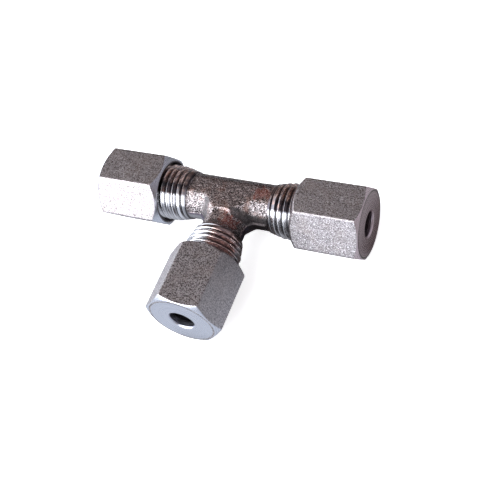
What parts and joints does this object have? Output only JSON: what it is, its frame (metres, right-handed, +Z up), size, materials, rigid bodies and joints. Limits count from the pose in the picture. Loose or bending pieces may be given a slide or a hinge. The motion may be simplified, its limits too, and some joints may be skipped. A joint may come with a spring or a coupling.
{
  "type": "compression fitting",
  "caption": "Equal tee union for 6 mm tube: a forged body with threaded 24-degree cone ports, hexagon union nuts and cutting rings inside them.",
  "frame": {"origin": "the point where the axes of the three ports meet, in the middle of the tee", "axes": "+X out of the right run port, -X out of the left run port, -Y out of the branch port, +Z up, square to the plane of the tee and to its forged flats"},
  "size_m": [0.0701, 0.0448, 0.0184],
  "materials": {
    "tee_body": "forged and pickled stainless steel, with bright machined threads",
    "union_nut": "fine matt stainless steel flats with turned end faces",
    "cutting_ring": "hardened stainless steel, turned"
  },
  "bodies": {
    "tee_body": {"tee_body": "tee_body"},
    "right_cutting_ring": {"right_cutting_ring": "cutting_ring"},
    "right_nut": {"right_nut": "union_nut"},
    "left_cutting_ring": {"left_cutting_ring": "cutting_ring"},
    "left_nut": {"left_nut": "union_nut"},
    "branch_cutting_ring": {"branch_cutting_ring": "cutting_ring"},
    "branch_nut": {"branch_nut": "union_nut"}
  },
  "joints": [
    {"name": "right_ring_travel", "type": "slide", "parent": "tee_body", "child": "right_cutting_ring", "axis": [1, 0, 0], "range_m": [-0.0038, 0.00578]},
    {"name": "right_nut_turn", "type": "hinge", "parent": "right_cutting_ring", "child": "right_nut", "pos_m": [0, 0, 0], "axis": [1, 0, 0], "range_deg": [-911, 1386]},
    {"name": "left_ring_travel", "type": "slide", "parent": "tee_body", "child": "left_cutting_ring", "axis": [-1, 0, 0], "range_m": [-0.0043, 0.00525]},
    {"name": "left_nut_turn", "type": "hinge", "parent": "left_cutting_ring", "child": "left_nut", "pos_m": [0, 0, 0], "axis": [-1, 0, 0], "range_deg": [-1031, 1260]},
    {"name": "branch_ring_travel", "type": "slide", "parent": "tee_body", "child": "branch_cutting_ring", "axis": [0, -1, 0], "range_m": [-0.004, 0.00555]},
    {"name": "branch_nut_turn", "type": "hinge", "parent": "branch_cutting_ring", "child": "branch_nut", "pos_m": [0, 0, 0], "axis": [0, -1, 0], "range_deg": [-960, 1332]}
  ],
  "couplings": [
    {"joint": "right_ring_travel", "follows": "right_nut_turn", "m_per_rad": 0.00023873},
    {"joint": "left_ring_travel", "follows": "left_nut_turn", "m_per_rad": 0.00023873},
    {"joint": "branch_ring_travel", "follows": "branch_nut_turn", "m_per_rad": 0.00023873}
  ]
}
